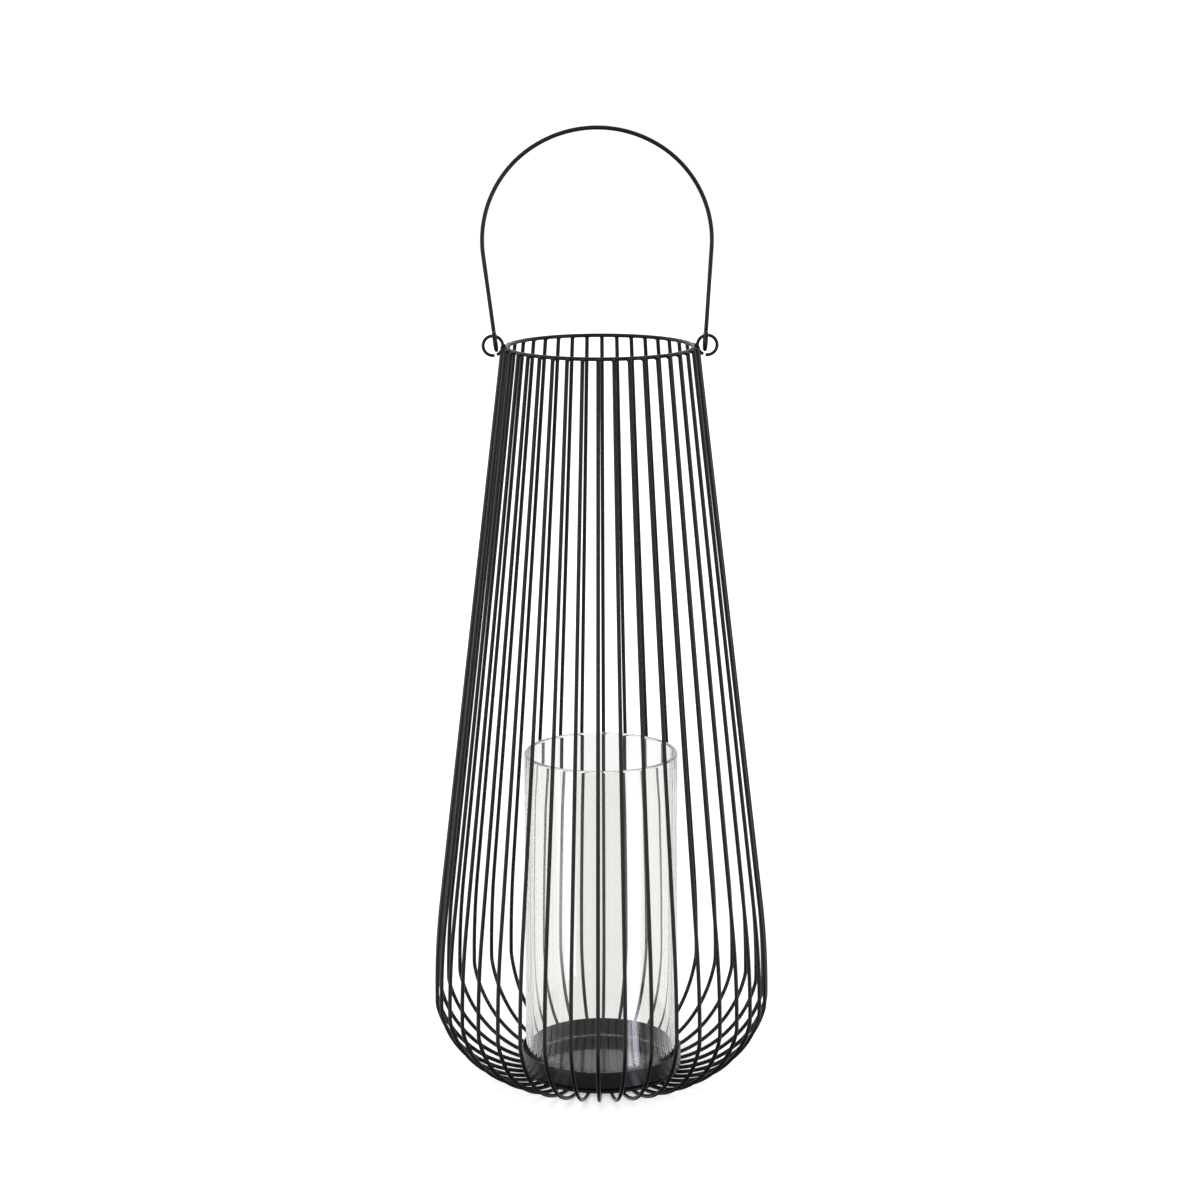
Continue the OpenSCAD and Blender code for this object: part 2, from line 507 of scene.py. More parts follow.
def wire_surface(name, line, wire_r, side, closed=False):
    """Round wire along a middle line.

    At each point of the line the ring is the point plus the wire's radius times the cosine of an
    angle along the normal and its sine along the second normal. The normal is what is left of
    side once its part along the line is taken off. At a free end the radius shrinks by a quarter
    circle, so the sheared edge is rounded.
    """
    edge = sizes().end_round
    if closed:
        tangent = np.roll(line, -1, axis=0) - np.roll(line, 1, axis=0)
        radius = np.full(len(line), wire_r)
    else:
        turn = np.linspace(0, math.pi / 2, END_RINGS)
        inset = edge * (1 - np.cos(turn))
        narrow = wire_r - edge + edge * np.sin(turn)
        first = line[1] - line[0]
        last = line[-2] - line[-1]
        first, last = first / np.linalg.norm(first), last / np.linalg.norm(last)
        head = line[0] + inset[:, None] * first
        tail = (line[-1] + inset[:, None] * last)[::-1]
        room = END_ROOM * edge
        far = np.linalg.norm(line - line[0], axis=1) > room
        far &= np.linalg.norm(line - line[-1], axis=1) > room
        far[len(line) // 2] = True
        side = np.broadcast_to(side, line.shape)
        side = np.concatenate(
            [np.repeat(side[:1], END_RINGS, 0), side[far], np.repeat(side[-1:], END_RINGS, 0)]
        )
        line = np.concatenate([head, line[far], tail])
        radius = np.concatenate([narrow, np.full(far.sum(), wire_r), narrow[::-1]])
        tangent = np.gradient(line, axis=0)
        tangent[:END_RINGS], tangent[-END_RINGS:] = first, -last
    tangent /= np.linalg.norm(tangent, axis=1, keepdims=True)
    side = np.broadcast_to(side, line.shape)
    normal = side - (side * tangent).sum(axis=1, keepdims=True) * tangent
    normal /= np.linalg.norm(normal, axis=1, keepdims=True)
    second = np.cross(tangent, normal)
    angle = np.linspace(0, 2 * math.pi, detail().wire_sides, endpoint=False)
    ring = (
        np.cos(angle)[None, :, None] * normal[:, None, :]
        + np.sin(angle)[None, :, None] * second[:, None, :]
    )
    grid = line[:, None, :] + radius[:, None, None] * ring
    return ring_surface(name, grid, closed, line[0], line[-1])


def turned_surface(name, profile, closed):
    """A profile of distances from the axis and heights, carried round the axis.

    Each point goes to its distance times the cosine and the sine of the angle, at its own
    height. An open profile starts and ends on the axis.
    """
    angle = np.linspace(0, 2 * math.pi, detail().round_steps, endpoint=False)
    ends = (None, None)
    if not closed:
        ends = [(0, 0, profile[0][1]), (0, 0, profile[-1][1])]
        profile = profile[1:-1]
    r, z = profile[:, 0, None], profile[:, 1, None]
    grid = np.stack(
        np.broadcast_arrays(r * np.cos(angle), r * np.sin(angle), z + 0 * angle), axis=-1
    )
    return ring_surface(name, grid, closed, *ends)


def bead_surface(name, centres, frames, halves):
    """Weld beads: one egg shape, set at every centre and turned by the frame there.

    The egg is the sines and cosines of a latitude and a longitude, times three half lengths.
    """
    rows, columns = BEAD_ROWS, BEAD_COLUMNS
    lat = np.linspace(-math.pi / 2, math.pi / 2, rows + 2)[1:-1, None]
    lon = np.linspace(0, 2 * math.pi, columns, endpoint=False)[None, :]
    shell = np.stack(
        np.broadcast_arrays(np.cos(lat) * np.cos(lon), np.cos(lat) * np.sin(lon), np.sin(lat)),
        axis=-1,
    ).reshape(-1, 3)
    shell = np.concatenate([shell, [(0, 0, -1), (0, 0, 1)]]) * np.asarray(halves)
    verts = centres[:, None, :] + np.einsum("vk,nkx->nvx", shell, frames)
    j = np.arange(columns)
    along = (j + 1) % columns
    south = np.stack([along, j, np.full(columns, len(shell) - 2)], axis=1)
    end = (rows - 1) * columns
    north = np.stack([end + j, end + along, np.full(columns, len(shell) - 1)], axis=1)
    offset = np.arange(len(centres))[:, None, None] * len(shell)
    quads = (grid_faces(rows, columns, False)[None] + offset).reshape(-1, 4)
    tris = (np.concatenate([south, north])[None] + offset).reshape(-1, 3)
    return make_mesh(name, verts.reshape(-1, 3), quads, tris)


def arc(centre, radius, start, stop, steps=None):
    """Points on a circle, from one angle to another, as distances across and heights."""
    angle = np.linspace(start, stop, steps or detail().bend_steps)
    return np.stack(
        [centre[0] + radius * np.cos(angle), centre[1] + radius * np.sin(angle)], axis=1
    )


def upright(flat, turn=0.0):
    """Points of a flat line set upright, in the plane that stands at that angle round the axis."""
    return np.stack(
        [flat[:, 0] * math.cos(turn), flat[:, 0] * math.sin(turn), flat[:, 1]], axis=1
    )


def moves_on(line):
    """True for each point of a line that doesn't lie on the one before."""
    step = np.linalg.norm(np.diff(line, axis=0), axis=1)
    return np.concatenate([[True], step > SAME_PLACE])


def without_repeats(line):
    """The same line with points left out that lie on the one before."""
    return line[moves_on(line)]


# ---------------------------------------------------------------- lines and profiles


def rib_line():
    """Middle line of a rib, from its foot to its top.

    A bowl arc starts level, a shoulder arc and a belly arc meet it and each other without a
    kink, and a straight line touches the belly arc and ends beside the top hoop.
    """
    s = sizes()
    run = WIDEST_R - FOOT_R - s.shoulder_bend
    climb = s.widest_h - RIB_WIRE_R - s.shoulder_bend
    excess = (run * run + climb * climb) / (2 * climb)
    bowl_bend = s.shoulder_bend + excess
    sweep = math.acos(run / excess)
    bowl = arc((FOOT_R, RIB_WIRE_R + bowl_bend), bowl_bend, -math.pi / 2, -sweep)
    shoulder_at = (WIDEST_R - s.shoulder_bend, s.widest_h)
    shoulder = arc(shoulder_at, s.shoulder_bend, -sweep, 0, SHOULDER_STEPS)
    top_r = TOP_HOOP_R + HOOP_WIRE_R + RIB_WIRE_R + s.weld_gap
    belly_x = WIDEST_R - s.belly_bend
    top_run, top_climb = top_r - belly_x, TOP_HOOP_Z - s.widest_h
    reach = math.hypot(top_run, top_climb)
    slant = math.atan2(top_climb, top_run) - math.acos(s.belly_bend / reach)
    belly = arc((belly_x, s.widest_h), s.belly_bend, 0, slant)
    stub = (RIB_TOP_Z - TOP_HOOP_Z) / math.cos(slant) - RIB_WIRE_R * math.tan(slant)
    length = math.sqrt(reach**2 - s.belly_bend**2) + stub
    share = np.linspace(0, 1, ROD_STEPS)[:, None]
    rod = belly[-1] + share * length * np.array([-math.sin(slant), math.cos(slant)])
    return without_repeats(np.concatenate([bowl, shoulder, belly, rod]))


def eye_sizes():
    """Where the pivot of the bail is, and the radius of an eye and its drop below the pivot."""
    s = sizes()
    mid_r = EAR_R - EAR_WIRE_R
    drop = math.sqrt(mid_r**2 - s.eye_inset**2)
    hole = 2 * drop - s.bail_wire + s.eye_seat - s.eye_play
    pivot = (EAR_X - s.eye_inset, EAR_Z + drop)
    return pivot, (hole + s.bail_wire) / 2, hole / 2 - EAR_WIRE_R - s.eye_seat


def bail_line():
    """Middle line of the bail and the side vector of its rings.

    Seen from the front it is a crown arc between two shoulder arcs and two straight arms that
    touch them. Each arm ends in an eye that stands across the arch: a small neck arc away from
    the arm, then an arc nearly all round the eye. The side vector turns by a quarter along the
    middle of each arm, from across the arch to along it.
    """
    s = sizes()
    (pivot_x, pivot_z), eye_r, eye_drop = eye_sizes()
    shoulder_r = pivot_x + s.bail_bulge - s.crown_flat * math.sin(s.crown_sweep)
    crown_r = shoulder_r + s.crown_flat
    crown_z = BAIL_HIGH.z - s.bail_wire / 2 - crown_r
    shoulder_x = s.crown_flat * math.sin(s.crown_sweep)
    shoulder_z = crown_z + s.crown_flat * math.cos(s.crown_sweep)
    halves = []
    for side in (-1, 1):
        run = pivot_x - shoulder_x + side * s.bail_set
        rise = shoulder_z - pivot_z
        reach = math.hypot(run, rise)
        slant = math.asin(shoulder_r / reach) - math.atan2(run, rise)
        length = math.sqrt(reach**2 - shoulder_r**2)
        crown = arc((0, crown_z), crown_r, math.pi / 2, math.pi / 2 - s.crown_sweep)
        shoulder = arc((shoulder_x, shoulder_z), shoulder_r, math.pi / 2 - s.crown_sweep, -slant)
        arch = np.concatenate([crown, shoulder])
        arch = np.stack([side * arch[:, 0] - s.bail_set, 0 * arch[:, 0], arch[:, 1]], axis=1)
        lift = math.sqrt((eye_r + s.neck_bend) ** 2 - s.neck_bend**2)
        neck_z = lift - eye_drop
        arm = np.stack([np.zeros(ARM_STEPS), np.linspace(length, neck_z, ARM_STEPS)], axis=1)
        meet = math.atan2(lift, s.neck_bend)
        neck = arc((s.neck_bend, neck_z), s.neck_bend, math.pi, math.pi + meet, NECK_STEPS)
        eye = arc((0, -eye_drop), eye_r, meet, s.eye_open - 1.5 * math.pi, EYE_STEPS)
        flat = np.concatenate([arm, neck, eye])
        across = np.array([0, side, 0])
        along = np.array([side * math.sin(slant), 0, math.cos(slant)])
        pivot = np.array([side * pivot_x, 0, pivot_z])
        lower = pivot + flat[:, :1] * across + flat[:, 1:] * along
        still = 0.1
        turn = np.clip(np.linspace(-still, 1 + still, ARM_STEPS), 0, 1) * math.pi / 2
        turned = np.full(len(neck) + len(eye), math.pi / 2)
        turn = np.concatenate([np.zeros(len(arch)), turn, turned])
        inward = np.cross(along, np.array([0, 1, 0]))
        vector = np.cos(turn)[:, None] * np.array([0, 1, 0]) + np.sin(turn)[:, None] * inward
        line = np.concatenate([arch, lower])
        keep = moves_on(line)
        halves.append((line[keep], vector[keep]))
    (left, left_side), (right, right_side) = halves
    line = np.concatenate([left[:0:-1], right])
    return line, np.concatenate([left_side[:0:-1], right_side])


def ear_line(side):
    """Middle line of an ear: an arc all round but for its gap, down and towards the cage."""
    s = sizes()
    mid_r = EAR_R - EAR_WIRE_R
    middle = -math.pi / 2 - side * s.ear_gap_turn
    half = math.asin(s.ear_gap / (2 * mid_r))
    stop = middle + 2 * math.pi - half
    return upright(arc((side * EAR_X, EAR_Z), mid_r, middle + half, stop, 3 * detail().bend_steps))


def circle_profile(radius, centre_r, centre_z):
    """Outline of a round wire cut across, the way that puts the outside on its right."""
    steps = detail().wire_sides
    return arc((centre_r, centre_z), radius, 0, 2 * math.pi, steps + 1)[:-1]


def dish_profile():
    """Outline of the dish from the middle of its underside to the middle of its floor.

    It is level, then a quarter circle, the upright wall, a rounded rim, and back down inside.
    """
    s = sizes()
    low, top = DISH_LOW.z, DISH_HIGH.z
    rim_r = SHEET / 2
    floor = low + SHEET
    bend_r = DISH_R - s.dish_bend
    inner = s.dish_bend - SHEET
    bend_at = (bend_r, low + s.dish_bend)
    span = np.linspace(0, FLAT_SHARE * bend_r, FLOOR_STEPS)
    rise = np.linspace(low + s.dish_bend, top - rim_r, WALL_STEPS)
    under = np.stack([span, np.full(FLOOR_STEPS, low)], axis=1)
    outer_bend = arc(bend_at, s.dish_bend, -math.pi / 2, 0, DISH_BEND_STEPS)
    wall = np.stack([np.full(WALL_STEPS, DISH_R), rise], axis=1)
    rim = arc((DISH_R - rim_r, top - rim_r), rim_r, 0, math.pi, DISH_RIM_STEPS)
    inside = wall[::-1] - (SHEET, 0)
    inner_bend = arc(bend_at, inner, 0, -math.pi / 2, DISH_BEND_STEPS)
    over = np.stack([span[::-1], np.full(FLOOR_STEPS, floor)], axis=1)
    parts = [under, outer_bend, wall, rim, inside, inner_bend, over]
    return without_repeats(np.concatenate(parts))


def glass_profile():
    """Outline of the glass wall: up, over a full round rim, down inside, and an eased foot."""
    half = GLASS_WALL / 2
    ease = half / 3
    low, top = GLASS_LOW.z, GLASS_HIGH.z
    inner_r = GLASS_R - GLASS_WALL
    rise = np.linspace(low + 3 * ease, top - half, GLASS_WALL_STEPS)
    outer_foot = arc((GLASS_R - ease, low + ease), ease, -math.pi / 2, 0, END_RINGS)
    outside = np.stack([np.full(GLASS_WALL_STEPS, GLASS_R), rise], axis=1)
    rim = arc((GLASS_R - half, top - half), half, 0, math.pi, GLASS_RIM_STEPS)
    inside = outside[::-1] - (GLASS_WALL, 0)
    inner_foot = arc((inner_r + ease, low + ease), ease, math.pi, 1.5 * math.pi, END_RINGS)
    parts = [outer_foot, outside, rim, inside, inner_foot]
    return without_repeats(np.concatenate(parts))


# ---------------------------------------------------------------- shader nodes


def feed(tree, socket, value):
    """Links a socket to another one, or sets it to a constant."""
    if isinstance(value, bpy.types.NodeSocket):
        tree.links.new(value, socket)
    else:
        socket.default_value = value


def math_node(tree, operation, *values):
    """One sum, product or such of sockets and numbers."""
    node = tree.nodes.new("ShaderNodeMath")
    node.operation = operation
    for socket, value in zip(node.inputs, values):
        feed(tree, socket, value)
    return node.outputs[0]


def length_of(tree, vector):
    """Length of a vector."""
    node = tree.nodes.new("ShaderNodeVectorMath")
    node.operation = "LENGTH"
    feed(tree, node.inputs[0], vector)
    return node.outputs["Value"]


def smooth_step(tree, value, zero_at, one_at):
    """0 before one place and 1 past the other, with a soft change between them."""
    node = tree.nodes.new("ShaderNodeMapRange")
    node.interpolation_type = "SMOOTHSTEP"
    feed(tree, node.inputs["Value"], value)
    feed(tree, node.inputs["From Min"], zero_at)
    feed(tree, node.inputs["From Max"], one_at)
    return node.outputs["Result"]


def blend(tree, share, low, high, kind="FLOAT"):
    """Mix of two numbers or colours: the first at share 0, the second at share 1."""
    node = tree.nodes.new("ShaderNodeMix")
    node.data_type = kind
    factor, first, second, result = MIX_SOCKETS[kind]
    feed(tree, node.inputs[factor], share)
    feed(tree, node.inputs[first], low)
    feed(tree, node.inputs[second], high)
    return node.outputs[result]


def ray_kinds(tree):
    """Five masks, each 1 for the rays that its name stands for.

    seen: straight from the camera, or on through glass without a reflection.
    gloss: off a glossy surface, or through glass.
    through: out of glass, or inner.
    clear: off or through something perfectly smooth.
    inner: clear, after many reflections.
    """
    path = tree.nodes.new("ShaderNodeLightPath").outputs
    through, clear = path["Is Transmission Ray"], path["Is Singular Ray"]
    often = math_node(tree, "GREATER_THAN", path["Glossy Depth"], MANY_REFLECTIONS)
    inner = math_node(tree, "MULTIPLY", often, clear)
    straight = math_node(tree, "LESS_THAN", path["Glossy Depth"], ANY_REFLECTION)
    straight = math_node(tree, "MULTIPLY", through, straight)
    return {
        "seen": math_node(tree, "MAXIMUM", path["Is Camera Ray"], straight),
        "gloss": math_node(tree, "MAXIMUM", path["Is Glossy Ray"], through),
        "through": math_node(tree, "MAXIMUM", through, inner),
        "clear": clear,
        "inner": inner,
    }


# ---------------------------------------------------------------- materials


def new_material(name):
    """An empty material and its node tree."""
    material = bpy.data.materials.new(name)
    material.use_nodes = True
    material.node_tree.nodes.clear()
    return material, material.node_tree


def coat_grain():
    """Node group for a sprayed coat.

    It gives a fine pebbled height, and a roughness that drifts a little and is lower within the
    polish radius of the axis.
    """
    group = bpy.data.node_groups.get("coat_grain")
    if group:
        return group
    group = bpy.data.node_groups.new("coat_grain", "ShaderNodeTree")
    face = group.interface
    for name in ("Scale", "Roughness", "Drift", "Polish", "Polish Radius"):
        face.new_socket(name=name, in_out="INPUT", socket_type="NodeSocketFloat")
    for name in ("Roughness", "Height"):
        face.new_socket(name=name, in_out="OUTPUT", socket_type="NodeSocketFloat")
    nodes, links = group.nodes, group.links
    given = nodes.new("NodeGroupInput").outputs
    place = nodes.new("ShaderNodeTexCoord").outputs["Object"]
    pebbles = nodes.new("ShaderNodeTexNoise")
    pebbles.inputs["Detail"].default_value = 2
    links.new(place, pebbles.inputs["Vector"])
    links.new(given["Scale"], pebbles.inputs["Scale"])
    patches = nodes.new("ShaderNodeTexNoise")
    patches.inputs["Scale"].default_value = PATCH_SCALE
    links.new(place, patches.inputs["Vector"])
    centred = math_node(group, "SUBTRACT", patches.outputs["Fac"], 0.5)
    uneven = math_node(group, "MULTIPLY_ADD", centred, given["Drift"], given["Roughness"])
    split = nodes.new("ShaderNodeSeparateXYZ")
    links.new(place, split.inputs[0])
    level = nodes.new("ShaderNodeCombineXYZ")
    links.new(split.outputs["X"], level.inputs["X"])
    links.new(split.outputs["Y"], level.inputs["Y"])
    from_axis = length_of(group, level.outputs[0])
    inside = math_node(group, "LESS_THAN", from_axis, given["Polish Radius"])
    rubbed = math_node(group, "MULTIPLY", inside, given["Polish"])
    out = nodes.new("NodeGroupOutput")
    links.new(math_node(group, "SUBTRACT", uneven, rubbed), out.inputs["Roughness"])
    links.new(pebbles.outputs["Fac"], out.inputs["Height"])
    return group


def coat_material(name, colour, bump, grain):
    """Sprayed coat on steel, with the given values on the inputs of the coat's grain."""
    found = bpy.data.materials.get(name)
    if found:
        return found
    material, tree = new_material(name)
    nodes, links = tree.nodes, tree.links
    coat = nodes.new("ShaderNodeGroup")
    coat.node_tree = coat_grain()
    for socket, value in grain.items():
        coat.inputs[socket].default_value = value
    pebbled = nodes.new("ShaderNodeBump")
    pebbled.inputs["Strength"].default_value = bump
    pebbled.inputs["Distance"].default_value = PEBBLE_DEPTH
    links.new(coat.outputs["Height"], pebbled.inputs["Height"])
    shader = nodes.new("ShaderNodeBsdfPrincipled")
    shader.inputs["Base Color"].default_value = colour
    links.new(coat.outputs["Roughness"], shader.inputs["Roughness"])
    links.new(pebbled.outputs["Normal"], shader.inputs["Normal"])
    out = nodes.new("ShaderNodeOutputMaterial")
    links.new(shader.outputs[0], out.inputs["Surface"])
    return material


def wire_coat():
    """Powder coat of all wires and welds."""
    f = finish()
    grain = {"Scale": 1400, "Roughness": f.wire_roughness, "Drift": 0.06}
    return coat_material("wire_coat", f.wire_colour, bump=0.03, grain=grain)


def dish_coat():
    """Smoother coat of the dish, polished on its flat floor."""
    f = finish()
    grain = {
        "Scale": 250,
        "Roughness": f.dish_roughness,
        "Drift": 0.02,
        "Polish": f.floor_polish,
        "Polish Radius": DISH_R - sizes().dish_bend,
    }
    return coat_material("dish_coat", f.dish_colour, bump=0.01, grain=grain)


def tube_glass():
    """Clear glass with a slight tint and a bright polish.

    It lets lamps through, and lets a ray out once it has been reflected many times.
    """
    found = bpy.data.materials.get("tube_glass")
    if found:
        return found
    material, tree = new_material("tube_glass")
    nodes, links = tree.nodes, tree.links
    shader = nodes.new("ShaderNodeBsdfPrincipled")
    shader.inputs["Base Color"].default_value = finish().glass_tint
    shader.inputs["Roughness"].default_value = 0.0
    shader.inputs["IOR"].default_value = GLASS_IOR
    shader.inputs["Transmission Weight"].default_value = 1.0
    shader.inputs["Coat Weight"].default_value = 1.0
    shader.inputs["Coat Roughness"].default_value = 0.0
    clear = nodes.new("ShaderNodeBsdfTransparent")
    clear.inputs["Color"].default_value = GLASS_SHADE
    path = nodes.new("ShaderNodeLightPath").outputs
    spent = math_node(tree, "GREATER_THAN", path["Glossy Depth"], MANY_REFLECTIONS)
    mix = nodes.new("ShaderNodeMixShader")
    links.new(math_node(tree, "MAXIMUM", spent, path["Is Shadow Ray"]), mix.inputs[0])
    links.new(shader.outputs[0], mix.inputs[1])
    links.new(clear.outputs[0], mix.inputs[2])
    out = nodes.new("ShaderNodeOutputMaterial")
    links.new(mix.outputs[0], out.inputs["Surface"])
    return material


def dress(obj, material, slot, body, *nodes):
    """Gives a piece its material and body, and hides the CAD nodes it stands for. The slot is not
    used.
    """
    obj.data.materials.append(material)
    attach(obj, body)
    if nodes:
        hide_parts(*nodes)
    return obj


# ---------------------------------------------------------------- operators


class LANTERN_OT_frame_finish(bpy.types.Operator):
    """Give every CAD node its material"""

    bl_idname = "lantern.frame_finish"
    bl_label = "Finish the CAD nodes"

    def execute(self, context):
        special = {"glass_cylinder": tube_glass, "candle_dish": dish_coat}
        for name, obj in NODES.items():
            material = special.get(name, wire_coat)()
            obj.data.materials.clear()
            obj.data.materials.append(material)
        return {"FINISHED"}


class LANTERN_OT_ribs(bpy.types.Operator):
    """Build the ribs of the cage"""

    bl_idname = "lantern.ribs"
    bl_label = "Ribs"

    def execute(self, context):
        line = rib_line()
        for name in RIB_NAMES:
            turn, _ = rib_turn(name)
            side = np.array([-math.sin(turn), math.cos(turn), 0])
            rib = wire_surface(f"wire_{name}", upright(line, turn), RIB_WIRE_R, side)
            dress(rib, wire_coat(), "wire_black", CAGE, name)
        return {"FINISHED"}


class LANTERN_OT_hoops(bpy.types.Operator):
    """Build the top hoop and the base hoop"""

    bl_idname = "lantern.hoops"
    bl_label = "Hoops"

    def execute(self, context):
        for name in ("top_hoop", "base_hoop"):
            profile = circle_profile(*ring_sizes(name))
            hoop = turned_surface(f"wire_{name}", profile, True)
            dress(hoop, wire_coat(), "wire_black", CAGE, name)
        return {"FINISHED"}


class LANTERN_OT_ears(bpy.types.Operator):
    """Build the two split ears"""

    bl_idname = "lantern.ears"
    bl_label = "Ears"

    def execute(self, context):
        for name, side in (("ear_left", -1), ("ear_right", 1)):
            across = np.array([0.0, 1.0, 0.0])
            ear = wire_surface(f"wire_{name}", ear_line(side), EAR_WIRE_R, across)
            dress(ear, wire_coat(), "wire_black", CAGE, name)
        return {"FINISHED"}


class LANTERN_OT_welds(bpy.types.Operator):
    """Build the weld beads between ribs, hoops and ears"""

    bl_idname = "lantern.welds"
    bl_label = "Weld beads"

    def execute(self, context):
        s = sizes()
        turns = np.array([rib_turn(name)[0] for name in RIB_NAMES])
        out = np.stack([np.cos(turns), np.sin(turns), 0 * turns], axis=1)
        round_ = np.stack([-np.sin(turns), np.cos(turns), 0 * turns], axis=1)
        up = np.broadcast_to([0.0, 0.0, 1.0], out.shape)
        frames = np.stack([out, round_, up], axis=1)
        centres = out * (TOP_HOOP_R + HOOP_WIRE_R) + up * (TOP_HOOP_Z - s.weld_drop)
        halves = (s.weld_depth, s.weld_reach, s.weld_rise)
        top = bead_surface("top_welds", centres, frames, halves)
        dress(top, wire_coat(), "wire_black", CAGE)
        centres = out * BASE_HOOP_R + up * (BASE_HOOP_Z - BASE_WIRE_R)
        halves = (s.weld_rise, s.weld_rise, s.weld_depth)
        base = bead_surface("base_welds", centres, frames, halves)
        dress(base, wire_coat(), "wire_black", CAGE)
        signs = np.array([-1.0, 1.0])
        frames = np.stack(
            [signs[:, None] * [1, 0, 0], signs[:, None] * [0, 1, 0], [[0, 0, 1]] * 2], axis=1
        )
        inner = (EAR_X - EAR_R + TOP_HOOP_R + HOOP_WIRE_R) / 2
        middle = (TOP_HOOP_Z + EAR_Z) / 2
        centres = np.stack([signs * inner, 0 * signs, 0 * signs + middle], axis=1)
        halves = (s.weld_depth, s.weld_rise, s.weld_reach)
        ears = bead_surface("ear_welds", centres, frames, halves)
        dress(ears, wire_coat(), "wire_black", CAGE)
        return {"FINISHED"}


class LANTERN_OT_dish(bpy.types.Operator):
    """Build the candle dish"""

    bl_idname = "lantern.dish"
    bl_label = "Candle dish"

    def execute(self, context):
        dish = turned_surface("pressed_candle_dish", dish_profile(), False)
        dress(dish, dish_coat(), "dish_black", CAGE, "candle_dish")
        return {"FINISHED"}


class LANTERN_OT_glass(bpy.types.Operator):
    """Build the glass cylinder"""

    bl_idname = "lantern.glass"
    bl_label = "Glass"

    def execute(self, context):
        glass = turned_surface("blown_glass_cylinder", glass_profile(), True)
        dress(glass, tube_glass(), "clear_glass", GLASS, "glass_cylinder")
        return {"FINISHED"}


class LANTERN_OT_bail(bpy.types.Operator):
    """Build the bail with its two eyes"""

    bl_idname = "lantern.bail"
    bl_label = "Bail"

    def execute(self, context):
        line, side = bail_line()
        bail = wire_surface("wire_bail_handle", line, sizes().bail_wire / 2, side)
        dress(bail, wire_coat(), "wire_black", BAIL, "bail_handle")
        return {"FINISHED"}


